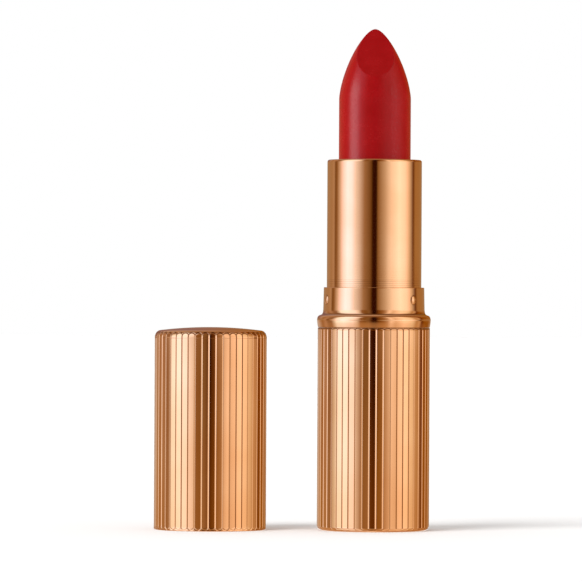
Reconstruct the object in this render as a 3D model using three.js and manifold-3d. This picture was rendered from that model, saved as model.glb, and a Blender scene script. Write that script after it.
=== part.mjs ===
// A twist-up lipstick case standing beside its cap, in millimetres with +Z up.
//
// The origin is the centre of the base's rest face. -Y is the front, which the slanted face of the
// lipstick looks towards. The case is shown open: the lipstick is fully raised, and the cap stands
// on its open end at the -X side.
//
// The base holds a slotted guide tube. Turning the gold tube above the base turns a sleeve with two
// helical grooves, which drives the carrier's two lugs up or down the guide tube's straight slots.

import * as THREE from 'three';
import { mergeVertices } from 'three/addons/utils/BufferGeometryUtils.js';
import Module from 'manifold-3d';

const wasm = await Module();
wasm.setup();

// ---- Driving dimensions ----

const CASE_RADIUS = 9.5;            // over the flutes, of the base and of the cap
const FLUTES = 50;
const FLUTE_DEPTH = 0.12;
const FLUTE_GROOVE_SHARE = 0.24;      // of the pitch, the width of the groove between two ribs
const BASE_FLUTE_TURN = 1.8;        // degrees from the front to the first groove
const CAP_FLUTE_TURN = -1.0;

const BASE_HEIGHT = 34.3;
const BASE_INNER_RADIUS = 8.85;
const BASE_LIP_RADIUS = 7.6;        // hole in the turned-in bottom lip
const BASE_LIP_THICKNESS = 0.65;

const BEAD_RADIUS = 9.625;          // rounded shoulder bead that the closed cap rests on
const BEAD_TOP = 36.7;
const COLLAR_RADIUS = 8.5;
const COLLAR_BORE = 8.1;
const COLLAR_TOP = 41.1;
const COLLAR_SKIRT_RADIUS = 8.8;
const COLLAR_SKIRT_BOTTOM = 28.2;

const SNAP_BEAD_HEIGHT = 39.0;      // centre of the three beads that hold the cap
const SNAP_BEAD_ANGLES = [-70, 50, 170];
const SNAP_BEAD_SIZE = [0.6, 0.26, 0.68];

const TUBE_RADIUS = 8.0;
const TUBE_BORE = 7.65;
const TUBE_BOTTOM = 26.9;
const TUBE_TOP = 62.7;
const TUBE_MOUTH = 6.6;             // hole in the curled top lip

const SLEEVE_RADIUS = 7.6;
const SLEEVE_BORE = 7.02;
const SLEEVE_TOP = 61.3;
const GROOVE_RADIUS = 7.37;
const GROOVE_HEIGHT = 2.4;

const GUIDE_RADIUS = 6.95;
const GUIDE_BORE = 6.55;
const GUIDE_FLOOR = 25.0;
const GUIDE_TOP = 61.9;
const GUIDE_SLOT_WIDTH = 1.9;
const STEM_RADIUS = 4.0;
const STEM_BOTTOM = 12.0;

const CARRIER_TRAVEL = 24.5;
const CARRIER_TURNS = 1.5;          // turns of the tube over the carrier's whole travel
const CARRIER_RADIUS = 6.45;
const CARRIER_BOTTOM = 51.4;
const CARRIER_TOP = 61.3;
const LUG_REACH = 7.2;
const LUG_SIZE = 1.6;
const LUG_HEIGHT = 53.0;            // centre of the lugs

const BULLET_RADIUS = 6.05;
const BULLET_BOTTOM = 52.5;
const OGIVE_START = 71.0;
const OGIVE_APEX = 85.6;            // where the pointed top would end without its slanted face
const FACET_RADIUS = 30;            // hollow of the slanted face
const FACET_LOW = [-5.22, 76.8];    // y and z of the face's lower end
const FACET_HIGH = [0.75, 84.9];    // y and z of its upper end, at the tip

const CAP_CENTRE = -27.6;
const CAP_HEIGHT = 34.25;
const CAP_INNER_RADIUS = 9.0;
const CAP_FLUTE_TOP = 33.3;
const LINER_RADIUS = 8.95;
const LINER_BORE = 8.62;
const LINER_TOP = 30.0;
const SNAP_GROOVE_RADIUS = 8.82;
const SNAP_GROOVE_HEIGHT = 2.5;     // centre of the liner's groove above the cap's open end

const FINE = 48;                    // segments round the outer turned pieces
const COARSE = 36;                  // segments round the hidden ones

// ---- Materials ----

function finish(color, metalness, roughness) {
  return new THREE.MeshStandardMaterial({ color, metalness, roughness });
}

const POLISHED_GOLD = finish(0xe0a070, 1.0, 0.12);
const FLUTED_GOLD = finish(0xdf9d69, 1.0, 0.18);
const LIPSTICK_RED = finish(0xa01018, 0.0, 0.4);
const IVORY_PLASTIC = finish(0xe8dfcf, 0.0, 0.45);
const DARK_PLASTIC = finish(0x2b2422, 0.0, 0.5);
const SOFT_RUBBER = finish(0x3a3a3c, 0.0, 0.85);
const BARE_STEEL = finish(0x9a9a9c, 1.0, 0.4);

// ---- Shared shape helpers ----

// One closed set of shared vertices, as a manifold-3d solid.
function solidOf(geometry) {
  const bare = geometry.clone();
  bare.deleteAttribute('normal');
  bare.deleteAttribute('uv');
  const merged = mergeVertices(bare, 1e-3);
  return new wasm.Manifold(new wasm.Mesh({
    numProp: 3,
    vertProperties: merged.attributes.position.array,
    triVerts: new Uint32Array(merged.index.array),
  }));
}

function geometryOf(solid) {
  const { vertProperties, triVerts } = solid.getMesh();
  const geometry = new THREE.BufferGeometry();
  geometry.setAttribute('position', new THREE.BufferAttribute(vertProperties, 3));
  geometry.setIndex(new THREE.BufferAttribute(triVerts, 1));
  geometry.computeVertexNormals();
  return geometry;
}

// A turned piece about Z. The outline is [radius, height] points, anticlockwise.
function turned(outline, segments) {
  const points = outline.map(([radius, height]) => new THREE.Vector2(radius, height));
  return new THREE.LatheGeometry(points, segments).rotateX(Math.PI / 2);
}

// A turned ring: the outline closes on itself.
function ring(outline, segments) {
  return turned([...outline, outline[0]], segments);
}

// Points of a circular arc in the outline's plane, angles in degrees from the outward direction.
function arc(centreRadius, centreHeight, radius, from, to, steps) {
  const points = [];
  for (let i = 0; i <= steps; i += 1) {
    const angle = THREE.MathUtils.degToRad(from + (to - from) * i / steps);
    points.push([centreRadius + radius * Math.cos(angle), centreHeight + radius * Math.sin(angle)]);
  }
  return points;
}

// Presses V-grooves into the outermost points of a turned shell. The shell has three columns of
// vertices to each flute: one becomes the groove's bottom and the other two its edges.
function fluted(geometry, turnDegrees) {
  const pitch = 2 * Math.PI / FLUTES;
  const innermost = CASE_RADIUS - 0.08;
  const columns = [0, FLUTE_GROOVE_SHARE / 2, 1 - FLUTE_GROOVE_SHARE / 2];
  const position = geometry.attributes.position;
  const point = new THREE.Vector3();
  for (let i = 0; i < position.count; i += 1) {
    point.fromBufferAttribute(position, i);
    const radius = Math.hypot(point.x, point.y);
    const column = Math.round((Math.atan2(point.x, -point.y) + 2 * Math.PI) / pitch * 3);
    const inGroove = column % 3 === 0 && radius > innermost;
    const angle = (Math.floor(column / 3) + columns[column % 3]) * pitch;
    const around = angle + THREE.MathUtils.degToRad(turnDegrees);
    const reach = radius - (inGroove ? FLUTE_DEPTH : 0);
    position.setXYZ(i, reach * Math.sin(around), -reach * Math.cos(around), point.z);
  }
  return geometry;
}

function part(name, geometry, material) {
  const mesh = new THREE.Mesh(geometry, material);
  mesh.name = name;
  return mesh;
}

// ---- Base ----

function baseShell() {
  const edge = 0.75;
  const outline = [
    [BASE_LIP_RADIUS, 0],
    ...arc(CASE_RADIUS - edge, edge, edge, -90, 0, 2),
    [CASE_RADIUS, BASE_HEIGHT - 0.35],
    [CASE_RADIUS - 0.3, BASE_HEIGHT],
    [BASE_INNER_RADIUS, BASE_HEIGHT],
    [BASE_INNER_RADIUS, BASE_LIP_THICKNESS],
    [BASE_LIP_RADIUS, BASE_LIP_THICKNESS],
  ];
  return part('base_shell', fluted(ring(outline, FLUTES * 3), BASE_FLUTE_TURN), FLUTED_GOLD);
}

// Closes the bottom from inside: its stepped edge sits on the shell's turned-in lip.
function basePlug() {
  const step = BASE_LIP_THICKNESS + 0.05;
  const outline = [
    [0, 0],
    [BASE_LIP_RADIUS - 0.08, 0],
    [BASE_LIP_RADIUS - 0.08, step],
    [BASE_INNER_RADIUS - 0.08, step],
    [BASE_INNER_RADIUS - 0.08, step + 1],
    [0, step + 1],
  ];
  return part('base_plug', turned(outline, FINE), DARK_PLASTIC);
}

function baseWeight() {
  const radius = 8.3;
  const outline = [
    [0, 1.8],
    [radius - 0.3, 1.8],
    [radius, 2.1],
    [radius, 7.7],
    [radius - 0.3, 8],
    [0, 8],
  ];
  return part('base_weight', turned(outline, COARSE), BARE_STEEL);
}

// A cup that fits the shell, with a socket in its middle for the guide tube's stem.
function baseInsert() {
  const floor = 8.1;
  const wallTop = 25.4;
  const socketTop = 23.5;
  const outline = [
    [0, floor],
    [BASE_INNER_RADIUS - 0.12, floor],
    [BASE_INNER_RADIUS - 0.12, wallTop],
    [7.95, wallTop],
    [7.95, floor + 2],
    [5.2, floor + 2],
    [5.2, socketTop],
    [STEM_RADIUS + 0.05, socketTop],
    [STEM_RADIUS + 0.05, STEM_BOTTOM - 0.6],
    [0, STEM_BOTTOM - 0.6],
  ];
  return part('base_insert', turned(outline, COARSE), IVORY_PLASTIC);
}

function snapBead(degrees) {
  const bead = new THREE.SphereGeometry(1, 12, 8);
  bead.scale(...SNAP_BEAD_SIZE);
  bead.translate(0, -COLLAR_RADIUS + 0.04, SNAP_BEAD_HEIGHT);
  return solidOf(bead.rotateZ(THREE.MathUtils.degToRad(degrees)));
}

// The visible collar, the rounded bead under it and the skirt that is pressed into the base.
function shoulderCollar() {
  const outline = [
    [COLLAR_BORE, COLLAR_SKIRT_BOTTOM],
    [COLLAR_SKIRT_RADIUS, COLLAR_SKIRT_BOTTOM],
    [COLLAR_SKIRT_RADIUS, BASE_HEIGHT],
    [BEAD_RADIUS - 0.25, BASE_HEIGHT],
    [BEAD_RADIUS - 0.14, BASE_HEIGHT + 0.2],
    [BEAD_RADIUS - 0.03, BASE_HEIGHT + 0.9],
    [BEAD_RADIUS, BASE_HEIGHT + 1.45],
    [BEAD_RADIUS - 0.08, BASE_HEIGHT + 1.85],
    [BEAD_RADIUS - 0.36, BASE_HEIGHT + 2.08],
    [COLLAR_RADIUS + 0.24, BEAD_TOP - 0.1],
    [COLLAR_RADIUS + 0.08, BEAD_TOP + 0.25],
    [COLLAR_RADIUS, BEAD_TOP + 1.3],
    [COLLAR_RADIUS, COLLAR_TOP - 0.15],
    [COLLAR_RADIUS - 0.15, COLLAR_TOP],
    [COLLAR_BORE, COLLAR_TOP],
  ];
  let collar = solidOf(ring(outline, FINE));
  for (const degrees of SNAP_BEAD_ANGLES) {
    collar = collar.add(snapBead(degrees));
  }
  return part('shoulder_collar', geometryOf(collar), POLISHED_GOLD);
}

// The guide tube's slots stop the lugs at both ends of their travel.
function guideTube() {
  const outline = [
    [0, GUIDE_FLOOR - 2.3],
    [STEM_RADIUS - 1, GUIDE_FLOOR - 2.3],
    [STEM_RADIUS - 1, STEM_BOTTOM],
    [STEM_RADIUS, STEM_BOTTOM],
    [STEM_RADIUS, GUIDE_FLOOR - 1.1],
    [GUIDE_RADIUS + 0.85, GUIDE_FLOOR - 1.1],
    [GUIDE_RADIUS + 0.85, GUIDE_FLOOR - 0.1],
    [GUIDE_RADIUS, GUIDE_FLOOR - 0.1],
    [GUIDE_RADIUS, GUIDE_TOP - 0.5],
    [GUIDE_RADIUS + 0.4, GUIDE_TOP - 0.5],
    [GUIDE_RADIUS + 0.4, GUIDE_TOP],
    [GUIDE_BORE, GUIDE_TOP],
    [GUIDE_BORE, GUIDE_FLOOR],
    [0, GUIDE_FLOOR],
  ];
  const slotTop = LUG_HEIGHT + LUG_SIZE / 2 + 0.1;
  const slotBottom = LUG_HEIGHT - CARRIER_TRAVEL - LUG_SIZE / 2 - 0.1;
  const slots = new THREE.BoxGeometry(2 * GUIDE_RADIUS + 2, GUIDE_SLOT_WIDTH, slotTop - slotBottom);
  slots.translate(0, 0, (slotTop + slotBottom) / 2);
  const slotted = solidOf(turned(outline, COARSE)).subtract(solidOf(slots));
  return part('guide_tube', geometryOf(slotted), IVORY_PLASTIC);
}

function brakeRing() {
  const outline = [
    [GUIDE_RADIUS + 0.05, GUIDE_FLOOR - 0.05],
    [GUIDE_RADIUS + 0.6, GUIDE_FLOOR - 0.05],
    [GUIDE_RADIUS + 0.75, GUIDE_FLOOR + 0.8],
    [GUIDE_RADIUS + 0.6, TUBE_BOTTOM - 0.05],
    [GUIDE_RADIUS + 0.05, TUBE_BOTTOM - 0.05],
  ];
  return part('brake_ring', ring(outline, COARSE), SOFT_RUBBER);
}

// ---- Tube ----

function tubeShell() {
  const lip = 0.5;
  const outline = [
    [TUBE_BORE, TUBE_BOTTOM],
    [TUBE_RADIUS, TUBE_BOTTOM],
    ...arc(TUBE_RADIUS - lip, TUBE_TOP - lip, lip, 0, 90, 3),
    [TUBE_MOUTH, TUBE_TOP],
    [TUBE_MOUTH, TUBE_TOP - lip],
    [TUBE_BORE, TUBE_TOP - lip],
  ];
  return part('tube_shell', ring(outline, FINE), POLISHED_GOLD);
}

// A helical bar with a square-cut section, which cuts one groove when it is taken from the sleeve.
// The groove rises anticlockwise from the lug's lowest place to just past its place at rest.
function grooveCutter(lugDegrees) {
  const stepDegrees = 12;
  const overrun = 18;
  const sweep = 360 * CARRIER_TURNS;
  const steps = (sweep + 2 * overrun) / stepDegrees;
  const section = [[SLEEVE_BORE - 0.4, -1], [GROOVE_RADIUS, -1], [GROOVE_RADIUS, 1], [SLEEVE_BORE - 0.4, 1]];
  const vertices = [];
  for (let i = 0; i <= steps; i += 1) {
    const beyondLug = i * stepDegrees - sweep - overrun;
    const angle = THREE.MathUtils.degToRad(lugDegrees + beyondLug);
    const height = LUG_HEIGHT + beyondLug * CARRIER_TRAVEL / sweep;
    for (const [radius, side] of section) {
      vertices.push(radius * Math.cos(angle), radius * Math.sin(angle), height + side * GROOVE_HEIGHT / 2);
    }
  }
  const faces = [0, 1, 2, 0, 2, 3];
  for (let i = 0; i < steps; i += 1) {
    for (let side = 0; side < 4; side += 1) {
      const a = 4 * i + side;
      const b = 4 * i + (side + 1) % 4;
      faces.push(a, b + 4, b, a, a + 4, b + 4);
    }
  }
  const end = 4 * steps;
  faces.push(end, end + 2, end + 1, end, end + 3, end + 2);
  const cutter = new THREE.BufferGeometry();
  cutter.setAttribute('position', new THREE.Float32BufferAttribute(vertices, 3));
  cutter.setIndex(faces);
  return solidOf(cutter);
}

function spiralSleeve() {
  const outline = [
    [SLEEVE_BORE, TUBE_BOTTOM],
    [SLEEVE_RADIUS, TUBE_BOTTOM],
    [SLEEVE_RADIUS, SLEEVE_TOP],
    [SLEEVE_BORE, SLEEVE_TOP],
  ];
  let sleeve = solidOf(ring(outline, COARSE));
  for (const lugDegrees of [0, 180]) {
    sleeve = sleeve.subtract(grooveCutter(lugDegrees));
  }
  return part('spiral_sleeve', geometryOf(sleeve), DARK_PLASTIC);
}

// ---- Carrier ----

function carrierCup() {
  const outline = [
    [0, CARRIER_BOTTOM],
    [CARRIER_RADIUS, CARRIER_BOTTOM],
    [CARRIER_RADIUS, CARRIER_TOP],
    [BULLET_RADIUS + 0.03, CARRIER_TOP],
    [BULLET_RADIUS + 0.03, BULLET_BOTTOM - 0.05],
    [0, BULLET_BOTTOM - 0.05],
  ];
  let cup = solidOf(turned(outline, COARSE));
  const lugLength = LUG_REACH - BULLET_RADIUS - 0.15;
  for (const side of [-1, 1]) {
    const lug = new THREE.BoxGeometry(lugLength, LUG_SIZE, LUG_SIZE);
    lug.translate(side * (LUG_REACH - lugLength / 2), 0, LUG_HEIGHT);
    cup = cup.add(solidOf(lug));
  }
  return part('carrier_cup', geometryOf(cup), IVORY_PLASTIC);
}

// The pointed top's outline: an arc that leaves the straight side smoothly and ends on the axis.
function ogive(steps) {
  const rise = OGIVE_APEX - OGIVE_START;
  const arcRadius = (rise * rise + BULLET_RADIUS * BULLET_RADIUS) / (2 * BULLET_RADIUS);
  const apexAngle = THREE.MathUtils.radToDeg(Math.asin(rise / arcRadius));
  return arc(BULLET_RADIUS - arcRadius, OGIVE_START, arcRadius, 0, apexAngle, steps);
}

// A cylinder across the lipstick that hollows its slanted face.
function facetCutter() {
  const [lowY, lowZ] = FACET_LOW;
  const [highY, highZ] = FACET_HIGH;
  const halfChord = Math.hypot(highY - lowY, highZ - lowZ) / 2;
  const slope = Math.atan2(highZ - lowZ, highY - lowY);
  const offset = Math.sqrt(FACET_RADIUS ** 2 - halfChord ** 2);
  const cutter = new THREE.CylinderGeometry(FACET_RADIUS, FACET_RADIUS, 30, 120);
  cutter.rotateZ(Math.PI / 2);
  cutter.translate(
    0,
    (lowY + highY) / 2 - offset * Math.sin(slope),
    (lowZ + highZ) / 2 + offset * Math.cos(slope),
  );
  return solidOf(cutter);
}

function bullet() {
  const profile = ogive(10);
  profile[profile.length - 1][0] = 0;
  const outline = [
    [0, BULLET_BOTTOM],
    [BULLET_RADIUS, BULLET_BOTTOM],
    ...profile,
  ];
  const stick = solidOf(turned(outline, FINE)).subtract(facetCutter());
  return part('bullet', geometryOf(stick), LIPSTICK_RED);
}

// ---- Cap ----

function capShell() {
  const crownEdge = CAP_HEIGHT - 0.53;
  const outline = [
    [0, CAP_HEIGHT - 0.9],
    [CAP_INNER_RADIUS, CAP_HEIGHT - 1.3],
    [CAP_INNER_RADIUS, 0],
    [CASE_RADIUS - 0.2, 0],
    [CASE_RADIUS, 0.3],
    [CASE_RADIUS, crownEdge - 1.27],
    [CASE_RADIUS - 0.07, CAP_FLUTE_TOP - 0.35],
    [CASE_RADIUS - 0.2, CAP_FLUTE_TOP],
    [CASE_RADIUS - 0.55, crownEdge - 0.16],
    [CASE_RADIUS - 1.05, crownEdge],
    [0, CAP_HEIGHT],
  ];
  // The outline runs down the inside and up the outside, which is anticlockwise.
  return part('cap_shell', fluted(turned(outline, FLUTES * 3), CAP_FLUTE_TURN), FLUTED_GOLD);
}

function capLiner() {
  const floor = 0.6;
  const outline = [
    [0, LINER_TOP - 0.8],
    [LINER_BORE - 0.6, LINER_TOP - 0.8],
    [LINER_BORE, LINER_TOP - 1.4],
    [LINER_BORE, SNAP_GROOVE_HEIGHT + 0.6],
    [SNAP_GROOVE_RADIUS, SNAP_GROOVE_HEIGHT + 0.4],
    [SNAP_GROOVE_RADIUS, SNAP_GROOVE_HEIGHT - 0.4],
    [LINER_BORE, SNAP_GROOVE_HEIGHT - 0.6],
    [LINER_BORE, floor],
    [LINER_RADIUS, floor],
    [LINER_RADIUS, LINER_TOP - 0.6],
    [LINER_RADIUS - 0.6, LINER_TOP],
    [0, LINER_TOP],
  ];
  return part('cap_liner', turned(outline, FINE), DARK_PLASTIC);
}

// ---- Assembly ----

const base = new THREE.Group();
base.add(baseShell(), basePlug(), baseWeight(), baseInsert());
base.add(shoulderCollar(), guideTube(), brakeRing());

const tube = new THREE.Group();
tube.add(tubeShell(), spiralSleeve());

const carrier = new THREE.Group();
carrier.add(carrierCup(), bullet());

const cap = new THREE.Group();
cap.add(capShell(), capLiner());
cap.position.x = CAP_CENTRE;

const lipstickCase = new THREE.Group();
lipstickCase.add(base, tube, carrier, cap);

export default lipstickCase;
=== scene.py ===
"""A twist-up lipstick case in polished rose gold, standing beside its cap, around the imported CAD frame.

Shapes are written in millimetres in the CAD frame and scaled to metres when a mesh is made.
Angles round the axis are in degrees from the front (-Y), positive towards +X.
"""

import math

import bpy
import numpy as np
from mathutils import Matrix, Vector


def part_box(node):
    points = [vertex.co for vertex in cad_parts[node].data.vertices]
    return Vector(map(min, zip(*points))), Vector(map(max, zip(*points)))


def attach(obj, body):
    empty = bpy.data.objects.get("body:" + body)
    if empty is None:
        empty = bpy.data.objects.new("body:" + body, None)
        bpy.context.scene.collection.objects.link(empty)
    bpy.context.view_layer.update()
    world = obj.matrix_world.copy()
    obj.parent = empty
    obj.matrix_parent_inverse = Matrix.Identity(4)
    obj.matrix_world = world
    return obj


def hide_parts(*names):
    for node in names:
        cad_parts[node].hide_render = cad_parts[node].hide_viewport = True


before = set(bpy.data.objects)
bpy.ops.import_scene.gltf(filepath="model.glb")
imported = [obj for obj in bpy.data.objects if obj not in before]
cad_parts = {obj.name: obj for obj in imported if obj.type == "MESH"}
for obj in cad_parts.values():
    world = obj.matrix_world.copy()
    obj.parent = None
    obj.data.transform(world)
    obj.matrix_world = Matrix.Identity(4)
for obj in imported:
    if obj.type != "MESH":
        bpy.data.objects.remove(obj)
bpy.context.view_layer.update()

MM = 0.001


# ---------------------------------------------------------------------------
# Sizes read from the frame
# ---------------------------------------------------------------------------

class Span:
    """A node's centre, radius across X, and lowest and highest point, in millimetres."""

    def __init__(self, node):
        low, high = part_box(node)
        self.x = (low.x + high.x) / 2 / MM
        self.y = (low.y + high.y) / 2 / MM
        self.radius = (high.x - low.x) / 2 / MM
        self.low = low.z / MM
        self.high = high.z / MM


BASE = Span("base_shell")
PLUG = Span("base_plug")
WEIGHT = Span("base_weight")
INSERT = Span("base_insert")
BRAKE = Span("brake_ring")
SLEEVE = Span("spiral_sleeve")
COLLAR = Span("shoulder_collar")
TUBE = Span("tube_shell")
GUIDE = Span("guide_tube")
CUP = Span("carrier_cup")
STICK = Span("bullet")
CAP = Span("cap_shell")
LINER = Span("cap_liner")

# ---------------------------------------------------------------------------
# Mesh helpers
# ---------------------------------------------------------------------------

ROUND_COLUMNS = 256         # columns of vertices round a plain turned piece
STRAIGHT = 175              # degrees; a corner flatter than this isn't rounded
MOST_OF_A_SIDE = 0.45       # share of a side that the round of one corner may take
SHARP = 40                  # degrees between two faces that stay unsmoothed after a cut


def arc(centre_r, centre_z, size_r, size_z, start, end, steps):
    """Points of an elliptical arc in the (radius, height) plane, from start to end degrees."""
    angles = np.radians(np.linspace(start, end, steps + 1))
    return [(centre_r + size_r * math.cos(a), centre_z + size_z * math.sin(a)) for a in angles]


def supported(outline, closed):
    """The outline with two more points near the ends of each long straight side, which keep
    the shading of its flat faces flat right up to their rounded edges."""
    margin, shortest = 0.06, 0.3
    points = [outline[0]]
    ends = list(zip(outline, outline[1:] + ([outline[0]] if closed else [])))
    for (r0, z0), (r1, z1) in ends:
        length = math.hypot(r1 - r0, z1 - z0)
        if length > shortest:
            for share in (margin / length, 1 - margin / length):
                points.append((r0 + (r1 - r0) * share, z0 + (z1 - z0) * share))
        points.append((r1, z1))
    return points[:-1] if closed else points


def rounded(corners, radius, closed=True, steps=4):
    """Corner points with each sharp corner replaced by a small round of the given radius.
    A corner may carry its own radius as a third number."""
    outline = []
    count = len(corners)
    for i, corner in enumerate(corners):
        here = np.array(corner[:2], float)
        size = corner[2] if len(corner) > 2 else radius
        if (not closed and i in (0, count - 1)) or size <= 0:
            outline.append(tuple(here))
            continue
        before = np.array(corners[i - 1][:2], float) - here
        after = np.array(corners[(i + 1) % count][:2], float) - here
        reach_before, reach_after = np.linalg.norm(before), np.linalg.norm(after)
        before, after = before / reach_before, after / reach_after
        turn = math.acos(max(-1.0, min(1.0, float(before @ after))))
        if turn > math.radians(STRAIGHT):
            outline.append(tuple(here))
            continue
        cut = min(size / math.tan(turn / 2), MOST_OF_A_SIDE * reach_before, MOST_OF_A_SIDE * reach_after)
        start, end = here + before * cut, here + after * cut
        for k in range(steps + 1):
            t = k / steps
            point = (1 - t) ** 2 * start + 2 * t * (1 - t) * here + t * t * end
            outline.append(tuple(point))
    return outline


def smooth(points, steps):
    """A smooth curve through the points, with the given number of steps between each two."""
    padded = [points[0]] + points + [points[-1]]
    curve = [points[0]]
    for p0, p1, p2, p3 in zip(padded, padded[1:], padded[2:], padded[3:]):
        for k in range(1, steps + 1):
            t = k / steps
            curve.append(tuple(
                b + 0.5 * t * ((c - a) + t * ((2 * a - 5 * b + 4 * c - d) + t * (3 * b - a - 3 * c + d)))
                for a, b, c, d in zip(p0, p1, p2, p3)
            ))
    return curve


def mesh_object(name, vertices, faces):
    mesh = bpy.data.meshes.new(name)
    mesh.from_pydata((np.asarray(vertices, float) * MM).tolist(), [], faces)
    mesh.validate()
    mesh.update()
    mesh.shade_smooth()
    piece = bpy.data.objects.new(name, mesh)
    bpy.context.scene.collection.objects.link(piece)
    return piece


def revolve(name, outline, centre=(0.0, 0.0), angles=None, closed=True, relief=None, shade=None):
    """A turned piece. The outline runs anticlockwise in the (radius, height) plane; an open one
    starts and ends on the axis. relief(r, z, angle) gives how far a point is pressed in, and
    shade(r, z, angle) how much painted shade it keeps as the mesh's "shade" attribute."""
    if angles is None:
        angles = np.linspace(0, 2 * math.pi, ROUND_COLUMNS, endpoint=False)
    points = np.array(supported(outline, closed), float)
    radii, heights = points[:, 0], points[:, 1]
    rows = range(len(points)) if closed else range(1, len(points) - 1)
    columns = len(angles)
    ring_r = np.repeat(radii[list(rows), None], columns, axis=1)
    ring_z = np.repeat(heights[list(rows), None], columns, axis=1)
    ring_a = np.repeat(np.asarray(angles)[None, :], len(rows), axis=0)
    if relief is not None:
        ring_r = ring_r - relief(ring_r, ring_z, ring_a)
    vertices = np.stack([
        centre[0] + ring_r * np.sin(ring_a),
        centre[1] - ring_r * np.cos(ring_a),
        ring_z,
    ], axis=-1).reshape(-1, 3).tolist()
    count = len(rows)
    tones = shade(ring_r, ring_z, ring_a).reshape(-1).tolist() if shade is not None else None
    faces = []
    bands = count if closed else count - 1
    for i in range(bands):
        low, high = i * columns, ((i + 1) % count) * columns
        for j in range(columns):
            k = (j + 1) % columns
            faces.append((low + j, low + k, high + k, high + j))
    if not closed:
        first, last = len(vertices), len(vertices) + 1
        vertices.append((centre[0], centre[1], heights[0]))
        vertices.append((centre[0], centre[1], heights[-1]))
        top = (count - 1) * columns
        for j in range(columns):
            k = (j + 1) % columns
            faces.append((first, k, j))
            faces.append((last, top + j, top + k))
    piece = mesh_object(name, vertices, faces)
    # The "shade" attribute holds painted shade, which the gold's colour is darkened by.
    if tones is not None:
        tones += [0.0] * (len(vertices) - len(tones))
        piece.data.attributes.new("shade", "FLOAT", "POINT").data.foreach_set("value", tones)
    return piece


def block(name, low, high):
    """A box between two corners, used to cut or to join to another piece."""
    (x0, y0, z0), (x1, y1, z1) = low, high
    corners = [(x, y, z) for x in (x0, x1) for y in (y0, y1) for z in (z0, z1)]
    faces = [(0, 1, 3, 2), (4, 6, 7, 5), (0, 4, 5, 1), (2, 3, 7, 6), (0, 2, 6, 4), (1, 5, 7, 3)]
    return mesh_object(name, corners, faces)


def combined(piece, tools, operation):
    """The piece with each tool joined to it or cut out of it."""
    for tool in tools:
        step = piece.modifiers.new("step", "BOOLEAN")
        step.operation = operation
        step.solver = "EXACT"
        step.object = tool
    made = bpy.data.meshes.new_from_object(piece.evaluated_get(bpy.context.evaluated_depsgraph_get()))
    piece.modifiers.clear()
    piece.data = made
    for tool in tools:
        bpy.data.objects.remove(tool)
    made.set_sharp_from_angle(angle=math.radians(SHARP))
    return piece


# ---------------------------------------------------------------------------
# Flutes: flat-sided ribs between narrow pressed lines, with rounded ends
# ---------------------------------------------------------------------------

FLUTES = 50
PITCH = 2 * math.pi / FLUTES
LINE_HALF_WIDTH = 0.12      # mm, from the middle of a pressed line to the rib's face
LINE_DEPTH = 0.07           # mm
FACE_HOLLOW = 0.0095        # mm, how much flatter a rib's face is than the round body
FACE_TILT = 0.014           # mm, most that one rib's face leans to either side
BASE_END_ARCH = 0.14        # mm, how far a rib's rounded end falls from its middle to its corners
CAP_END_ARCH = 0.40
END_ARCH_POWER = 2.4        # how square an arch is: higher keeps its middle flatter
END_FADE = 0.3              # mm over which a rib's face turns round again towards its end
SKIN = 1.2                  # mm below the crest where the outer face's relief stops
# END_SHADE is the width of a painted line of shade along a rib's upper end; the shape itself doesn't cast
# it.
END_SHADE = 0.22            # mm, width of the dark line that a rib's end casts
BASE_LINE_ANGLE = 1.8       # degrees from the front to a pressed line
CAP_LINE_ANGLE = -1.0


def rib_angles(line_angle):
    """Columns of vertices, close together at each pressed line and wider apart across a rib."""
    stations = [0, 0.012, 0.028, 0.046, 0.064, 0.082, 0.1, 0.118, 0.15, 0.23, 0.35]
    stations += [0.5] + [1 - s for s in reversed(stations[1:])]
    start = math.radians(line_angle)
    return np.array([start + (k + s) * PITCH for k in range(FLUTES) for s in stations])


def pressed(distance):
    """Depth of a pressed line at a distance from its middle, both in millimetres: part rounded,
    part pointed."""
    rounded_part, point_power = 0.45, 1.3
    share = np.clip(1 - np.abs(distance) / LINE_HALF_WIDTH, 0, 1)
    soft = share * share * (3 - 2 * share)
    return LINE_DEPTH * (soft * rounded_part + share ** point_power * (1 - rounded_part))


def rib_relief(crest, line_angle, rib_low, rib_high, end_arch):
    """Relief of ribs that end at rib_low and rib_high in an arch, on faces near the crest radius,
    and a painted line of shade along their upper ends."""
    half_rib = crest * PITCH / 2
    leans = np.random.default_rng(FLUTES).uniform(-FACE_TILT, FACE_TILT, FLUTES)

    def place(angle):
        """The rib's number, and the place across it from -1 to 1."""
        turns = (angle - math.radians(line_angle)) / PITCH
        number = np.floor(turns)
        return number.astype(int) % FLUTES, (turns - number - 0.5) * 2

    def fall(share):
        return end_arch * np.abs(share) ** END_ARCH_POWER

    def relief(r, z, angle):
        rib, share = place(angle)
        lean = leans[rib] * share * (1 - share ** 8)
        side = half_rib - np.abs(share * half_rib)
        inside = np.minimum(rib_high - fall(share) - z, z - rib_low - fall(share))
        distance = np.where(inside > 0, np.minimum(side, inside), -inside)
        face = (FACE_HOLLOW * (1 - share * share) + lean) * np.clip(inside / END_FADE, 0, 1)
        return np.where(r > crest - SKIN, pressed(distance) + face, 0.0)

    # Painted shade: a dark band just over each rib's upper end, kept in the "shade" attribute.
    def shade(r, z, angle):
        middle = 0.03
        above = z - rib_high + fall(place(angle)[1])
        tone = np.clip(1 - np.abs(above - middle) / END_SHADE, 0, 1)
        return np.where(r > crest - SKIN, tone, 0.0)

    return relief, shade


def rows(low, high, step):
    """Heights from low to high, both included, no further apart than step."""
    count = max(1, round(abs(high - low) / step))
    return np.linspace(low, high, count + 1)


# ---------------------------------------------------------------------------
# Material helpers
# ---------------------------------------------------------------------------

def linear(r, g, b):
    """A colour given as 0-255 display values, as the linear values that nodes take."""
    def one(value):
        value /= 255
        return value / 12.92 if value <= 0.04045 else ((value + 0.055) / 1.055) ** 2.4
    return (one(r), one(g), one(b), 1.0)


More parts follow.
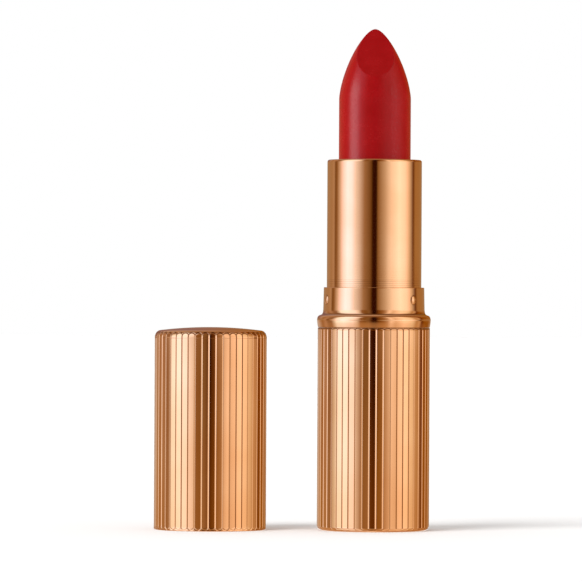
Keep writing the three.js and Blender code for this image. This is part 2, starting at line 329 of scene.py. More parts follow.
class Nodes:
    """A small builder for a material's or world's node tree, which starts empty unless it is kept."""

    def __init__(self, owner, keep=False):
        owner.use_nodes = True
        self.tree = owner.node_tree
        if not keep:
            self.tree.nodes.clear()

    def add(self, kind, settings=None):
        node = self.tree.nodes.new(kind)
        for key, value in (settings or {}).items():
            setattr(node, key, value)
        return node

    def set(self, node, key, value):
        """Sets or links an input, given by its name or as "i" and its number."""
        by_number = key[0] == "i" and key[1:].isdigit()
        socket = node.inputs[int(key[1:])] if by_number else node.inputs[key]
        if isinstance(value, bpy.types.NodeSocket):
            self.tree.links.new(value, socket)
        else:
            socket.default_value = value

    def math(self, operation, a, b=0.0):
        node = self.add("ShaderNodeMath", {"operation": operation})
        self.set(node, "i0", a)
        if len(node.inputs) > 1:
            self.set(node, "i1", b)
        return node.outputs[0]

    def mix(self, factor, a, b):
        node = self.add("ShaderNodeMix", {"data_type": "RGBA"})
        self.set(node, "i0", factor)
        self.set(node, "i6", a)
        self.set(node, "i7", b)
        return node.outputs[2]

    def remap(self, value, low, high, to_low, to_high):
        node = self.add("ShaderNodeMapRange")
        for index, item in enumerate((value, low, high, to_low, to_high)):
            self.set(node, f"i{index}", item)
        return node.outputs[0]

    def noise(self, vector, scale, detail=2.0, roughness=0.5):
        node = self.add("ShaderNodeTexNoise", {"noise_dimensions": "3D"})
        self.set(node, "Vector", vector)
        self.set(node, "Scale", scale)
        self.set(node, "Detail", detail)
        self.set(node, "Roughness", roughness)
        return node.outputs[0]

    def scaled(self, vector, factors):
        node = self.add("ShaderNodeVectorMath", {"operation": "MULTIPLY"})
        self.set(node, "i0", vector)
        self.set(node, "i1", factors)
        return node.outputs[0]

    def bump(self, height, strength, distance, normal=None):
        node = self.add("ShaderNodeBump")
        self.set(node, "Strength", strength)
        self.set(node, "Distance", distance)
        self.set(node, "Height", height)
        if normal is not None:
            self.set(node, "Normal", normal)
        return node.outputs[0]


def material(name):
    made = bpy.data.materials.new(name)
    nodes = Nodes(made)
    shader = nodes.add("ShaderNodeBsdfPrincipled")
    output = nodes.add("ShaderNodeOutputMaterial")
    nodes.tree.links.new(shader.outputs[0], output.inputs["Surface"])
    place = nodes.add("ShaderNodeTexCoord").outputs["Object"]
    return made, nodes, shader, place


ROSE_GOLD = (0.90, 0.55, 0.33, 1.0)
ROSE_GOLD_DEEP = (0.86, 0.49, 0.27, 1.0)
# A dark gold that gold() mixes in as painted shade, and that the tube's faint turning lines also use.
SHADED_GOLD = (0.16, 0.045, 0.008, 1.0)


def gold(name, grain, grain_depth, roughness, variation):
    """Polished rose gold. grain is how finely its marks repeat in metres along X, Y and Z."""
    most_shade = 0.85
    made, nodes, shader, place = material(name)
    cloud = nodes.noise(place, 90.0, 3.0)
    tone = nodes.mix(nodes.remap(cloud, 0.35, 0.65, 0.0, 1.0), ROSE_GOLD, ROSE_GOLD_DEEP)
    # Painted shade: where a piece's "shade" attribute is set, its gold is mixed up to most_shade of the way
    # to SHADED_GOLD, at the ribs' upper ends, the collar's fillet, the gap under its bead and the snap
    # beads' feet.
    shade = nodes.add("ShaderNodeAttribute", {"attribute_name": "shade"}).outputs["Fac"]
    nodes.set(shader, "Base Color", nodes.mix(nodes.math("MULTIPLY", shade, most_shade), tone, SHADED_GOLD))
    shader.inputs["Metallic"].default_value = 1.0
    marks = nodes.noise(nodes.scaled(place, grain), 1.0, 4.0, 0.6)
    handled = nodes.noise(place, 260.0, 2.0)
    spread = nodes.math("MULTIPLY", nodes.math("ADD", marks, handled), variation)
    nodes.set(shader, "Roughness", nodes.math("ADD", spread, roughness))
    nodes.set(shader, "Normal", nodes.bump(marks, 0.35, grain_depth))
    return made


def wax():
    """The lipstick: satin pigmented wax with a faint drawn texture and a soft sheen."""
    made, nodes, shader, place = material("lipstick_wax")
    cloud = nodes.noise(place, 420.0, 4.0, 0.6)
    tone = nodes.mix(nodes.remap(cloud, 0.3, 0.7, 0.0, 1.0), linear(115, 2, 5), linear(122, 4, 8))
    nodes.set(shader, "Base Color", tone)
    fine = nodes.noise(place, 5200.0, 3.0, 0.65)
    drawn = nodes.noise(nodes.scaled(place, (2600.0, 2600.0, 160.0)), 1.0, 3.0)
    nodes.set(shader, "Roughness", nodes.remap(cloud, 0.3, 0.7, 0.24, 0.29))
    shader.inputs["IOR"].default_value = 1.47
    shader.inputs["Specular IOR Level"].default_value = 0.22
    normal = nodes.bump(fine, 0.12, 0.00004)
    nodes.set(shader, "Normal", nodes.bump(drawn, 0.10, 0.00005, normal))
    return made


def plastic(name, colour, colour_2, roughness, grain_scale):
    """Moulded plastic with a fine spark-eroded grain."""
    made, nodes, shader, place = material(name)
    cloud = nodes.noise(place, 160.0, 3.0)
    nodes.set(shader, "Base Color", nodes.mix(nodes.remap(cloud, 0.3, 0.7, 0.0, 1.0), colour, colour_2))
    grain = nodes.noise(place, grain_scale, 2.0)
    nodes.set(shader, "Roughness", nodes.remap(cloud, 0.3, 0.7, roughness - 0.05, roughness + 0.05))
    nodes.set(shader, "Normal", nodes.bump(grain, 0.25, 0.00003))
    return made


def steel():
    """Turned bare steel, with tool marks round it."""
    made, nodes, shader, place = material("turned_steel")
    marks = nodes.noise(nodes.scaled(place, (120.0, 120.0, 9000.0)), 1.0, 3.0)
    nodes.set(shader, "Base Color", nodes.mix(marks, (0.42, 0.42, 0.43, 1.0), (0.58, 0.58, 0.58, 1.0)))
    shader.inputs["Metallic"].default_value = 1.0
    nodes.set(shader, "Roughness", nodes.remap(marks, 0.2, 0.8, 0.28, 0.42))
    nodes.set(shader, "Normal", nodes.bump(marks, 0.3, 0.00003))
    return made


FLUTED_GOLD = gold("fluted_rose_gold", (3000.0, 3000.0, 60.0), 0.000001, 0.04, 0.02)
TURNED_GOLD = gold("turned_rose_gold", (40.0, 40.0, 5200.0), 0.000004, 0.05, 0.03)
WAX = wax()
IVORY = plastic("ivory_plastic", (0.80, 0.74, 0.62, 1), (0.76, 0.69, 0.56, 1), 0.45, 4200.0)
DARK = plastic("dark_plastic", (0.030, 0.022, 0.020, 1), (0.040, 0.030, 0.026, 1), 0.5, 4200.0)
RUBBER = plastic("soft_rubber", (0.050, 0.050, 0.052, 1), (0.065, 0.065, 0.066, 1), 0.85, 6000.0)
STEEL = steel()


def add_turning_lines(surface, low, high, spacing, strength):
    """A few faint lines turned round a gold piece, between two heights in millimetres."""
    nodes = Nodes(surface, keep=True)
    shader = next(node for node in nodes.tree.nodes if node.type == "BSDF_PRINCIPLED")
    parts = nodes.add("ShaderNodeSeparateXYZ")
    nodes.set(parts, "i0", nodes.add("ShaderNodeTexCoord").outputs["Object"])
    height = parts.outputs[2]
    wave = nodes.math("SINE", nodes.math("MULTIPLY", height, 2 * math.pi / (spacing * MM)))
    above_low = nodes.math("GREATER_THAN", height, low * MM)
    within = nodes.math("MULTIPLY", above_low, nodes.math("LESS_THAN", height, high * MM))
    lines = nodes.math("MULTIPLY", within, nodes.remap(wave, 0.0, 1.0, 0.0, strength))
    plain = shader.inputs["Base Color"].links[0].from_socket
    nodes.set(shader, "Base Color", nodes.mix(lines, plain, SHADED_GOLD))


TUBE_GOLD = TURNED_GOLD.copy()
TUBE_GOLD.name = "turned_rose_gold_lined"
add_turning_lines(TUBE_GOLD, COLLAR.high + 0.05, COLLAR.high + 1.3, 0.3, 0.24)


def fit(piece, surface, body, node):
    """Gives a piece its material and ties it to the CAD node that it stands for. Polished pieces
    mirror only the studio, so the case and its cap don't show as stripes in each other's sides."""
    piece.data.materials.append(surface)
    piece.visible_glossy = False
    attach(piece, body)
    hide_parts(node)
    return piece


# ---------------------------------------------------------------------------
# Base
# ---------------------------------------------------------------------------

BASE_WALL = 0.65            # mm
BASE_OPENING = 7.6          # mm, radius of the hole in the turned-in bottom


def base_shell():
    edge, rim_edge = 0.75, 0.14
    wall = BASE.radius - BASE_WALL
    low_edge = arc(BASE.radius - edge, edge, edge, edge, -90, 0, 14)
    side = [(BASE.radius, z) for z in rows(edge + 0.04, 1.6, 0.05)]
    side += [(BASE.radius, z) for z in rows(BASE.high - 1.3, BASE.high - 0.16, 0.04)]
    rim = arc(BASE.radius - rim_edge, BASE.high - rim_edge, rim_edge, rim_edge, 0, 90, 5)
    inner = rounded([
        (wall, BASE.high), (wall, BASE_WALL), (BASE_OPENING, BASE_WALL), (BASE_OPENING, 0.0),
    ], 0.08, closed=False)
    relief, shade = rib_relief(BASE.radius, BASE_LINE_ANGLE, 0.42, BASE.high - 0.12, BASE_END_ARCH)
    piece = revolve("fluted_base_shell", [*low_edge, *side, *rim, *inner],
                    angles=rib_angles(BASE_LINE_ANGLE), relief=relief, shade=shade)
    return fit(piece, FLUTED_GOLD, "base", "base_shell")


def base_plug():
    lip, step = BASE_OPENING - 0.08, BASE_WALL + 0.05
    outline = rounded([
        (0, 0), (lip, 0, 0.12), (lip, step, 0.02), (PLUG.radius, step, 0.05),
        (PLUG.radius, PLUG.high, 0.1), (0, PLUG.high),
    ], 0.1, closed=False)
    piece = revolve("base_plug_disc", outline, closed=False)
    return fit(piece, DARK, "base", "base_plug")


def base_weight():
    outline = rounded([
        (0, WEIGHT.low), (WEIGHT.radius, WEIGHT.low), (WEIGHT.radius, WEIGHT.high), (0, WEIGHT.high),
    ], 0.35, closed=False)
    piece = revolve("base_weight_disc", outline, closed=False)
    return fit(piece, STEEL, "base", "base_weight")


STEM_RADIUS = 4.0           # mm, of the guide tube's stem, which stands in the insert's socket
STEM_LOW = 12.0             # mm


def base_insert():
    low, high, outer = INSERT.low, INSERT.high, INSERT.radius
    inner, floor = 7.95, INSERT.low + 2
    post, post_high = 5.2, 23.5
    socket, socket_low = STEM_RADIUS + 0.05, STEM_LOW - 0.6
    outline = rounded([
        (0, low), (outer, low, 0.2), (outer, high), (inner, high), (inner, floor), (post, floor),
        (post, post_high), (socket, post_high), (socket, socket_low), (0, socket_low),
    ], 0.1, closed=False)
    piece = revolve("base_insert_cup", outline, closed=False)
    return fit(piece, IVORY, "base", "base_insert")


LUG_HEIGHT = 53.0           # mm, of the carrier's lugs with the lipstick raised
LUG_SIZE = 1.6              # mm
LUG_REACH = 7.2             # mm from the axis
TRAVEL = 24.5               # mm, that the carrier comes down
TURNS = 1.5                 # of the tube, for the whole travel


def guide_tube():
    floor, wall, bore, top = 25.0, 6.95, 6.55, GUIDE.high
    hollow, hollow_high = STEM_RADIUS - 1, floor - 2.3
    flange, flange_low, flange_high = wall + 0.85, floor - 1.1, floor - 0.1
    rim, rim_low = wall + 0.4, top - 0.5
    outline = rounded([
        (0, hollow_high), (hollow, hollow_high), (hollow, STEM_LOW), (STEM_RADIUS, STEM_LOW),
        (STEM_RADIUS, flange_low), (flange, flange_low), (flange, flange_high), (wall, flange_high),
        (wall, rim_low), (rim, rim_low), (rim, top), (bore, top), (bore, floor), (0, floor),
    ], 0.08, closed=False, steps=3)
    piece = revolve("slotted_guide_tube", outline, closed=False)
    half_width, clear, reach = 0.95, LUG_SIZE / 2 + 0.1, wall + 1
    slots = block("guide_slots", (-reach, -half_width, LUG_HEIGHT - TRAVEL - clear),
                  (reach, half_width, LUG_HEIGHT + clear))
    combined(piece, [slots], "DIFFERENCE")
    return fit(piece, IVORY, "base", "guide_tube")


def brake_ring():
    inner, shoulder, low, high = 7.0, 7.55, BRAKE.low, BRAKE.high
    outline = rounded([
        (inner, low), (shoulder, low), (BRAKE.radius, low + 0.85), (shoulder, high), (inner, high),
    ], 0.1)
    piece = revolve("rubber_brake_ring", outline)
    return fit(piece, RUBBER, "base", "brake_ring")


COLLAR_RADIUS = 8.5         # mm
SNAP_BEAD_ANGLES = (-70.0, 50.0, 170.0)
SNAP_BEAD_HEIGHT = 39.0     # mm


def collar_angles():
    """Columns round the collar, closer together at the snap beads."""
    reach, columns, closest = 6, 49, 0.1
    near = [np.linspace(-180, 180, ROUND_COLUMNS, endpoint=False)]
    for bead in SNAP_BEAD_ANGLES:
        near.append(np.linspace(bead - reach, bead + reach, columns))
    angles = np.unique(np.round(np.concatenate(near), 4))
    angles = angles[angles < 180]
    keep = np.concatenate([[True], np.diff(angles) > closest])
    return np.radians(angles[keep])


def from_snap_bead(z, angle):
    """How far a point is from the nearest snap bead's middle, as a share of the bead's size."""
    half_wide, half_tall = 0.66, 0.74
    nearest = np.full_like(z, np.inf)
    for bead in SNAP_BEAD_ANGLES:
        turn = np.angle(np.exp(1j * (angle - math.radians(bead))))
        nearest = np.minimum(nearest, np.hypot(turn * COLLAR_RADIUS / half_wide,
                                               (z - SNAP_BEAD_HEIGHT) / half_tall))
    return nearest


def outer_face(r):
    return r > COLLAR_RADIUS - 0.1


def snap_bead_relief(r, z, angle):
    """Three low oval beads pressed outwards, on the collar's outer face."""
    proud = 0.28
    raised = np.sqrt(np.clip(1 - from_snap_bead(z, angle) ** 2, 0, 1))
    return np.where(outer_face(r), -proud * raised, 0.0)


def collar_shade(r, z, angle):
    """Painted shade: darker where the fillet, the gap under the bead and the foot of each snap bead see
    little light.
    """
    height = z - BASE.high
    # Painted shade and painted dark reflection: bands at the fillet, in the gap under the bead where the
    # collar sits on the base shell, and round each snap bead's foot.
    fillet = 0.75 * np.exp(-((height - 2.28) / 0.16) ** 2)
    seat_gap_shade = 0.9 * np.clip(1 - (height - 0.02) / 0.14, 0, 1)
    foot = 0.6 * np.exp(-((from_snap_bead(z, angle) - 1.06) / 0.13) ** 2)
    return np.where(outer_face(r), np.clip(fillet + seat_gap_shade + foot, 0, 1), 0.0)


def shoulder_collar():
    radius, bore, skirt = COLLAR_RADIUS, 8.1, 8.8
    seat, top = BASE.high, COLLAR.high
    # The shoulder bead and the fillet over it: how far inside the widest radius, and how high
    # above the seat.
    bead = [
        (0.20, 0.02), (0.16, 0.06), (0.13, 0.20), (0.07, 0.55), (0.02, 0.90), (0.0, 1.22), (0.022, 1.50),
        (0.09, 1.75), (0.21, 1.93), (0.38, 2.05), (0.60, 2.13), (0.80, 2.23), (0.93, 2.40),
    ]
    foot = [(radius + 0.12, seat + 2.68), (radius + 0.085, seat + 3.0), (radius + 0.075, seat + 3.3)]
    taper_low, taper, straight_low, straight_high = seat + 3.4, 0.07, 37.9, 40.2
    slope = taper / (top - taper_low)
    outline = rounded([(bore, COLLAR.low), (skirt, COLLAR.low), (skirt, seat + 0.02)], 0.06, closed=False)
    outline += smooth([(COLLAR.radius - inset, seat + rise) for inset, rise in bead] + foot, 5)
    side = rows(straight_low, straight_high, 0.045)
    outline += [(radius + taper - slope * (z - taper_low), z) for z in side]
    outline += rounded([
        (radius, straight_high + 0.2), (radius, top, 0.12), (bore, top, 0.05), (bore, COLLAR.low),
    ], 0.06, closed=False)[1:-1]
    piece = revolve("shoulder_collar_ring", outline, angles=collar_angles(), relief=snap_bead_relief,
                    shade=collar_shade)
    return fit(piece, TURNED_GOLD, "base", "shoulder_collar")


# ---------------------------------------------------------------------------
# Tube, carrier and lipstick
# ---------------------------------------------------------------------------

def tube_shell():
    bore, mouth, lip = 7.65, 6.6, 0.55
    outline = rounded([
        (bore, TUBE.low), (TUBE.radius, TUBE.low), (TUBE.radius, TUBE.high, 0.42),
        (mouth, TUBE.high, 0.22), (mouth, TUBE.high - lip, 0.1), (bore, TUBE.high - lip, 0.1),
    ], 0.08, steps=8)
    piece = revolve("twist_tube_shell", outline)
    return fit(piece, TUBE_GOLD, "tube", "tube_shell")


def helix_relief(r, z, angle):
    """Two helical grooves in the sleeve's bore, one for each of the carrier's lugs."""
    half_height, edge, depth, overrun = 1.2, 0.08, 0.35, 18.0
    sweep = 360 * TURNS
    cut = np.zeros_like(r)
    for lug in (90.0, -90.0):
        base = np.mod(np.degrees(angle) - lug, 360.0)
        for turn in range(-3, 1):
            beyond = base + 360.0 * turn
            centre = LUG_HEIGHT + beyond * TRAVEL / sweep
            inside = (beyond > -sweep - overrun) & (beyond < overrun)
            share = np.clip((half_height + edge - np.abs(z - centre)) / (2 * edge), 0, 1)
            cut = np.maximum(cut, np.where(inside, share, 0.0))
    return np.where(r < 7.2, -depth * cut, 0.0)


def spiral_sleeve():
    bore, low, high = 7.02, SLEEVE.low, SLEEVE.high
    outline = [(bore, z) for z in rows(high - 0.1, low + 0.1, 0.16)]
    outline += rounded([
        (bore, low + 0.05), (bore, low), (SLEEVE.radius, low), (SLEEVE.radius, high), (bore, high),
        (bore, high - 0.05),
    ], 0.04, closed=False, steps=2)
    piece = revolve("helical_sleeve", outline, relief=helix_relief)
    return fit(piece, DARK, "tube", "spiral_sleeve")


def carrier_cup():
    inner = STICK.radius + 0.02
    outline = rounded([
        (0, CUP.low), (6.45, CUP.low, 0.2), (6.45, CUP.high, 0.14), (inner, CUP.high, 0.14),
        (inner, CUP.low + 1.05, 0.1), (0, CUP.low + 1.05),
    ], 0.1, closed=False)
    piece = revolve("carrier_cup_ring", outline, closed=False)
    half = LUG_SIZE / 2
    lugs = [block("lug", (min(side * 6.2, side * LUG_REACH), -half, LUG_HEIGHT - half),
                  (max(side * 6.2, side * LUG_REACH), half, LUG_HEIGHT + half)) for side in (-1, 1)]
    combined(piece, lugs, "UNION")
    return fit(piece, IVORY, "carrier", "carrier_cup")


POINT_START, POINT_APEX = 73.0, 85.0            # mm, heights where the point starts and would end
POINT_POWER, POINT_FULLNESS = 1.5, 0.68         # shape of its outline
FACET_LOW, FACET_HIGH = (-5.28, 76.8), (0.36, 84.93)    # mm, (Y, Z) of the slanted face's ends
FACET_RADIUS = 30.0                             # mm, of its slight hollow


def facet_centre():
    """The axis of the hollow cylinder that cuts the slanted face, as (Y, Z)."""
    low, high = np.array(FACET_LOW), np.array(FACET_HIGH)
    chord = high - low
    half = np.linalg.norm(chord) / 2
    outward = np.array([-chord[1], chord[0]]) / (2 * half)
    return (low + high) / 2 + outward * math.sqrt(FACET_RADIUS ** 2 - half ** 2)


def lipstick():
    """The stick as rays from a point inside it, so that the facet's edge stays crisp but rounded."""
    side = STICK.radius + 0.03
    centre_y, centre_z = facet_centre()
    softness = 0.05
    core = np.array([0.0, 0.6, 76.5])

    def outside(points):
        """Signed distance, positive outside: the pointed stick cut by the facet's cylinder."""
        r = np.hypot(points[..., 0], points[..., 1])
        z = points[..., 2]
        share = np.clip((z - POINT_START) / (POINT_APEX - POINT_START), 0, 1)
        stick = r - side * (1 - share ** POINT_POWER) ** POINT_FULLNESS
        cut = FACET_RADIUS - np.hypot(points[..., 1] - centre_y, z - centre_z)
        gap = np.clip(0.5 + 0.5 * (stick - cut) / softness, 0, 1)
        return cut * (1 - gap) + stick * gap + softness * gap * (1 - gap)

    columns = 320
    around = np.linspace(0, 2 * math.pi, columns, endpoint=False)
    tilt = np.radians(np.concatenate([np.linspace(0, 100, 190)[1:], np.linspace(100, 148, 60)[1:]]))
    cap_rows = len(tilt)
    direction = np.stack([
        np.sin(tilt)[:, None] * np.sin(around)[None, :],
        -np.sin(tilt)[:, None] * np.cos(around)[None, :],
        np.repeat(np.cos(tilt)[:, None], columns, axis=1),
    ], axis=-1)
    near, far = np.zeros(direction.shape[:2]), np.full(direction.shape[:2], 30.0)
    for _ in range(44):
        middle = (near + far) / 2
        out = outside(core + direction * middle[..., None]) > 0
        far, near = np.where(out, middle, far), np.where(out, near, middle)
    surface = core + direction * near[..., None]
    apex_low, apex_high = 0.0, 30.0
    for _ in range(44):
        apex = (apex_low + apex_high) / 2
        if outside(core + np.array([0, 0, apex])) > 0:
            apex_high = apex
        else:
            apex_low = apex
    vertices = [core + np.array([0, 0, apex_low])] + surface.reshape(-1, 3).tolist()
    ring_angle = np.arctan2(surface[-1, :, 0], -surface[-1, :, 1])
    last = cap_rows - 1
    in_cup = 62
    straight = [(side if z > in_cup else STICK.radius, z) for z in rows(64.5, 54.5, 1.0)]
    bottom = rounded([
        (STICK.radius, 54.0), (STICK.radius, STICK.low), (0, STICK.low),
    ], 0.3, closed=False)[1:-1]
    for radius, height in straight + bottom:
        ring = [radius * np.sin(ring_angle), -radius * np.cos(ring_angle), np.full(columns, height)]
        vertices += np.stack(ring, axis=-1).tolist()
        last += 1
    vertices.append((0.0, 0.0, STICK.low))
    faces = []
    for j in range(columns):
        k = (j + 1) % columns
        faces.append((0, 1 + j, 1 + k))
        for i in range(last):
            a, b = 1 + i * columns, 1 + (i + 1) * columns
            faces.append((a + j, b + j, b + k, a + k))
        end = 1 + last * columns
        faces.append((end + j, len(vertices) - 1, end + k))
    piece = mesh_object("lipstick_stick", vertices, faces)
    return fit(piece, WAX, "carrier", "bullet")


# ---------------------------------------------------------------------------
# Cap
# ---------------------------------------------------------------------------

def cap_shell():
    bore = CAP.radius - 0.5
    crown_edge = 33.72
    corner_r, corner_z = 1.05, 1.3
    edge = 0.18
    inner = rounded([
        (0, CAP.high - 0.9), (bore, CAP.high - 1.3, 0.5), (bore, 0.0), (CAP.radius - edge, 0.0),
    ], 0.06, closed=False)
    low_edge = arc(CAP.radius - edge, edge, edge, edge, -90, 0, 6)
    side = [(CAP.radius, z) for z in rows(0.2, 1.3, 0.05)]
    side += [(CAP.radius, z) for z in rows(31.6, crown_edge - corner_z, 0.05)]
    corner = arc(CAP.radius - corner_r, crown_edge - corner_z, corner_r, corner_z, 0, 84, 36)
    dome_r, dome_z = corner[-1]
    rise = CAP.high - dome_z
    dome = [(dome_r * (1 - t), dome_z + rise * (1 - (1 - t) ** 2)) for t in np.linspace(0, 1, 25)[1:]]
    rib_low, rib_high = 0.22, 33.34
    relief, shade = rib_relief(CAP.radius, CAP_LINE_ANGLE, rib_low, rib_high, CAP_END_ARCH)
    outline = [*inner, *low_edge[1:], *side, *corner, *dome]
    piece = revolve("fluted_cap_shell", outline, centre=(CAP.x, CAP.y), angles=rib_angles(CAP_LINE_ANGLE),
                    closed=False, relief=relief, shade=shade)
    return fit(piece, FLUTED_GOLD, "cap", "cap_shell")


def cap_liner():
    bore, groove, snap = 8.62, 8.82, 2.5
    roof = LINER.high - 0.8
    outline = rounded([
        (0, roof), (bore, roof, 0.8), (bore, snap + 0.6), (groove, snap + 0.4),
        (groove, snap - 0.4), (bore, snap - 0.6), (bore, LINER.low, 0.12),
        (LINER.radius, LINER.low, 0.05), (LINER.radius, LINER.high, 0.5), (0, LINER.high),
    ], 0.1, closed=False)
    piece = revolve("cap_liner_cup", outline, centre=(LINER.x, LINER.y), closed=False)
    return fit(piece, DARK, "cap", "cap_liner")


base_shell()
base_plug()
base_weight()
base_insert()
guide_tube()
brake_ring()
shoulder_collar()
tube_shell()
spiral_sleeve()
carrier_cup()
stick = lipstick()
cap_shell()
cap_liner()

# ---------------------------------------------------------------------------
# Floor, light and camera
# ---------------------------------------------------------------------------

def floor():
    half = 4.0
    mesh = bpy.data.meshes.new("floor")
    corners = [(-half, -half, 0), (half, -half, 0), (half, half, 0), (-half, half, 0)]
    mesh.from_pydata(corners, [], [(0, 1, 2, 3)])
    plane = bpy.data.objects.new("floor", mesh)
    bpy.context.scene.collection.objects.link(plane)
    made, nodes, shader, place = material("pale_floor")
    shader.inputs["Roughness"].default_value = 0.9
    shader.inputs["Specular IOR Level"].default_value = 0.1
    nodes.set(shader, "Base Color", (0.93, 0.93, 0.93, 1.0))
    mesh.materials.append(made)
    plane.visible_glossy = False


# The studio as polished gold shows it: azimuth from the front in degrees, towards +X, and the
# display colour of the reflection. Red over 255 is a light brighter than the picture can show.
# The colours were given after measurements of the reference picture's reflections, so
# these three tables follow that picture and are no neutral studio.
STUDIO = [
    (-180, (160, 106, 62)), (-128, (170, 112, 64)), (-118, (182, 124, 78)), (-111, (118, 62, 14)),
    (-104, (150, 92, 44)), (-94, (218, 162, 118)), (-82, (290, 222, 197)), (-70, (320, 252, 238)),
    (-58, (312, 244, 228)), (-47, (248, 203, 170)), (-25, (163, 106, 62)), (-9, (110, 60, 17)),
    (-5, (49, 10, 0)), (4, (49, 10, 0)), (8, (144, 88, 38)), (25, (205, 153, 108)),
    (42, (262, 206, 160)), (62, (310, 234, 188)), (80, (290, 216, 168)), (94, (228, 168, 116)),
    (108, (98, 38, 0)), (118, (166, 102, 46)), (140, (164, 100, 46)), (180, (160, 106, 62)),
]
# The same a little under the horizon, and lower still, where the light is warmer and the dark gap
# in front fills in.
STUDIO_MIDDLE = [
    (-180, (204, 144, 96)), (-160, (198, 148, 110)), (-144, (188, 132, 90)), (-130, (160, 96, 46)),
    (-117, (182, 120, 76)), (-107, (148, 92, 50)), (-97, (150, 92, 52)), (-90, (216, 170, 128)),
    (-83, (270, 234, 198)), (-65, (290, 248, 216)), (-45, (276, 226, 194)), (-36, (234, 186, 146)),
    (-29, (146, 84, 38)), (-20, (128, 72, 24)), (-12, (132, 80, 36)), (-6, (84, 36, 10)),
    (-3, (40, 6, 0)), (3, (40, 6, 0)), (7, (92, 38, 4)), (12, (126, 64, 10)),
    (20, (152, 88, 38)), (27, (188, 126, 78)), (35, (264, 198, 148)), (45, (238, 174, 122)),
    (65, (285, 214, 160)), (85, (246, 190, 134)), (97, (188, 120, 62)), (106, (206, 138, 82)),
    (114, (102, 34, 0)), (125, (146, 72, 8)), (144, (146, 74, 12)), (180, (204, 144, 96)),
]
STUDIO_LOW = [
    (-180, (180, 120, 70)), (-160, (196, 146, 106)), (-144, (184, 120, 68)), (-130, (164, 96, 38)),
    (-118, (174, 108, 54)), (-107, (158, 98, 50)), (-97, (158, 96, 48)), (-90, (214, 164, 116)),
    (-83, (260, 206, 158)), (-65, (282, 222, 176)), (-45, (268, 208, 166)), (-36, (236, 180, 134)),
    (-29, (156, 92, 40)), (-20, (148, 84, 30)), (-12, (162, 98, 48)), (-4, (108, 48, 4)),
    (4, (108, 48, 4)), (12, (150, 84, 22)), (20, (162, 96, 40)), (27, (196, 130, 78)),
    (35, (248, 180, 124)), (45, (228, 160, 106)), (65, (272, 198, 138)), (85, (236, 170, 112)),
    (97, (186, 118, 60)), (106, (190, 122, 66)), (115, (120, 54, 0)), (130, (156, 84, 22)),
    (144, (150, 78, 18)), (180, (180, 120, 70)),
]
BRIGHTEST = 4.0     # a colour ramp's values are kept under one by dividing by this


def seen_in_gold(r, g, b):
    """The light whose reflection in rose gold shows as the given display colour."""
    seen = linear(r, g, b)
    return tuple(seen[c] / ROSE_GOLD[c] for c in range(3)) + (1.0,)


def tier(nodes, turn, stops):
    """A band of the studio: a ramp round the azimuth."""
    ramp = nodes.add("ShaderNodeValToRGB")
    nodes.set(ramp, "i0", turn)
    elements = ramp.color_ramp.elements
    for degrees, colour in stops:
        place = degrees / 360 + 0.5
        value = [channel / BRIGHTEST for channel in seen_in_gold(*colour)[:3]] + [1.0]
        if place in (0.0, 1.0):
            stop = elements[0 if place == 0.0 else -1]
        else:
            stop = elements.new(place)
        stop.color = value
    level = nodes.add("ShaderNodeVectorMath", {"operation": "SCALE"})
    nodes.set(level, "i0", ramp.outputs[0])
    level.inputs["Scale"].default_value = BRIGHTEST
    return level.outputs[0]


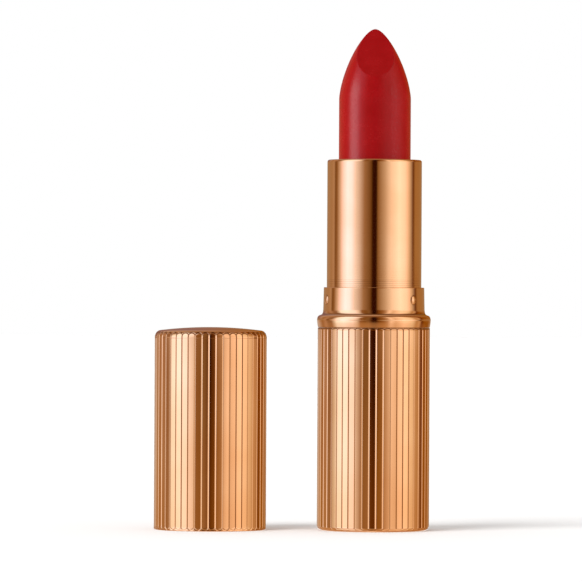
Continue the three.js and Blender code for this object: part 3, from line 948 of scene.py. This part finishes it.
def studio_world():
    world = bpy.data.worlds.new("studio")
    bpy.context.scene.world = world
    nodes = Nodes(world)
    direction = nodes.add("ShaderNodeTexCoord").outputs["Generated"]
    parts = nodes.add("ShaderNodeSeparateXYZ")
    nodes.set(parts, "i0", direction)
    x, y, z = parts.outputs
    azimuth = nodes.math("ARCTAN2", x, nodes.math("MULTIPLY", y, -1.0))
    turn = nodes.math("ADD", nodes.math("MULTIPLY", azimuth, 0.5 / math.pi), 0.5)
    under = nodes.remap(z, 0.0, -0.01, 0.0, 1.0)
    off_horizon = nodes.math("ADD", under, nodes.remap(z, 0.08, 0.16, 0.0, 1.0))
    lower = tier(nodes, turn, STUDIO_MIDDLE)
    middle = nodes.mix(off_horizon, tier(nodes, turn, STUDIO), lower)
    horizon = nodes.mix(nodes.remap(z, -0.015, -0.042, 0.0, 1.0), middle, tier(nodes, turn, STUDIO_LOW))
    # Low down the studio has a tall light straight behind too, with a dark gap at either side of it.
    # Only the case's back shows it.
    from_front = nodes.math("ABSOLUTE", nodes.math("SUBTRACT", turn, 0.5))
    gaps = nodes.mix(nodes.remap(from_front, 0.444, 0.452, 0.0, 1.0), lower, seen_in_gold(120, 66, 24))
    deep = nodes.mix(nodes.remap(from_front, 0.460, 0.472, 0.0, 1.0), gaps, seen_in_gold(280, 230, 188))
    horizon = nodes.mix(nodes.remap(z, -0.045, -0.08, 0.0, 1.0), horizon, deep)
    # Low behind the case, which only the cap's flat crown mirrors, at a glancing angle.
    low_above = nodes.remap(z, 0.03, 0.09, 0.0, 1.0)
    behind = nodes.math("MULTIPLY", low_above, nodes.remap(y, 0.75, 0.92, 0.0, 1.0))
    across = nodes.remap(x, -0.03, 0.02, 0.0, 1.0)
    crown = nodes.mix(across, seen_in_gold(142, 84, 60), seen_in_gold(154, 78, 10))
    horizon = nodes.mix(behind, horizon, crown)
    above = nodes.mix(nodes.remap(z, 0.80, 0.93, 0.0, 1.0), horizon, seen_in_gold(140, 82, 42))
    around = nodes.mix(nodes.remap(z, -0.12, -0.36, 0.0, 0.55), above, seen_in_gold(210, 134, 72))
    # Mirror-like reflections see the studio, the camera a white page, and the rest an even light.
    path = nodes.add("ShaderNodeLightPath")
    soft = nodes.add("ShaderNodeBackground")
    soft.inputs["Color"].default_value = (1.0, 0.99, 0.98, 1.0)
    soft.inputs["Strength"].default_value = 0.72
    mirror = nodes.add("ShaderNodeBackground")
    nodes.set(mirror, "Color", around)
    page = nodes.add("ShaderNodeBackground")
    page.inputs["Strength"].default_value = 1.0
    page.inputs["Color"].default_value = (1.0, 1.0, 1.0, 1.0)
    lit = nodes.add("ShaderNodeMixShader")
    nodes.set(lit, "i0", path.outputs["Is Glossy Ray"])
    nodes.tree.links.new(soft.outputs[0], lit.inputs[1])
    nodes.tree.links.new(mirror.outputs[0], lit.inputs[2])
    shown = nodes.add("ShaderNodeMixShader")
    nodes.set(shown, "i0", path.outputs["Is Camera Ray"])
    nodes.tree.links.new(lit.outputs[0], shown.inputs[1])
    nodes.tree.links.new(page.outputs[0], shown.inputs[2])
    output = nodes.add("ShaderNodeOutputWorld")
    nodes.tree.links.new(shown.outputs[0], output.inputs["Surface"])


def key_light(stick):
    """A large soft key from the front left, which lights the floor and the plastic pieces."""
    lamp = bpy.data.lights.new("key", "SUN")
    lamp.angle = math.radians(28)
    lamp.energy = 1.75
    key = bpy.data.objects.new("key", lamp)
    bpy.context.scene.collection.objects.link(key)
    towards = Vector((-0.5, -0.55, 0.95))
    key.matrix_world = towards.to_track_quat("Z", "Y").to_matrix().to_4x4()
    key.visible_glossy = False
    spared = bpy.data.collections.new("not_lit_by_key")
    spared.objects.link(stick)
    spared.collection_objects[0].light_linking.link_state = "EXCLUDE"
    key.light_linking.receiver_collection = spared


def stick_lights(stick):
    """Lights that fall only on the lipstick: a tall soft one at the left, which gives it its long
    sheen, and one from each side that shows no reflection."""
    only = bpy.data.collections.new("lit_by_stick_lights")
    only.objects.link(stick)
    lamp = bpy.data.lights.new("stick_sheen", "AREA")
    lamp.shape = "RECTANGLE"
    lamp.size, lamp.size_y = 0.28, 0.5
    lamp.energy = 1.6
    sheen = bpy.data.objects.new("stick_sheen", lamp)
    towards = Vector((-0.94, -0.34, 0.0))
    sheen.matrix_world = towards.to_track_quat("Z", "Y").to_matrix().to_4x4()
    sheen.location = towards * 0.5 + Vector((0, 0, 0.07))
    lights = [sheen]
    for name, azimuth, energy in (("stick_fill_left", -74, 4.7), ("stick_fill_right", 66, 4.0)):
        sun = bpy.data.lights.new(name, "SUN")
        sun.angle = math.radians(30)
        sun.energy = energy
        fill = bpy.data.objects.new(name, sun)
        turn = math.radians(azimuth)
        towards = Vector((math.sin(turn), -math.cos(turn), 0.2))
        fill.matrix_world = towards.to_track_quat("Z", "Y").to_matrix().to_4x4()
        fill.visible_glossy = False
        lights.append(fill)
    for light in lights:
        bpy.context.scene.collection.objects.link(light)
        light.light_linking.receiver_collection = only


CAMERA_DISTANCE = 0.95      # metres from the lipstick's axis
VIEW_WIDTH = 0.09856        # metres across the picture at the lipstick's axis
VIEW_CENTRE = (-0.01406, 0.04043)
VIEW_ROLL = -0.3            # degrees


def camera():
    data = bpy.data.cameras.new("camera")
    data.sensor_width = 36.0
    data.lens = data.sensor_width * CAMERA_DISTANCE / VIEW_WIDTH
    data.clip_start, data.clip_end = 0.05, 20.0
    made = bpy.data.objects.new("camera", data)
    bpy.context.scene.collection.objects.link(made)
    made.location = (VIEW_CENTRE[0], -CAMERA_DISTANCE, VIEW_CENTRE[1])
    made.rotation_euler = (math.radians(90), math.radians(VIEW_ROLL), 0)
    bpy.context.scene.camera = made


floor()
studio_world()
key_light(stick)
stick_lights(stick)
camera()
bpy.context.scene.view_settings.view_transform = "Standard"
bpy.context.scene.view_settings.look = "None"
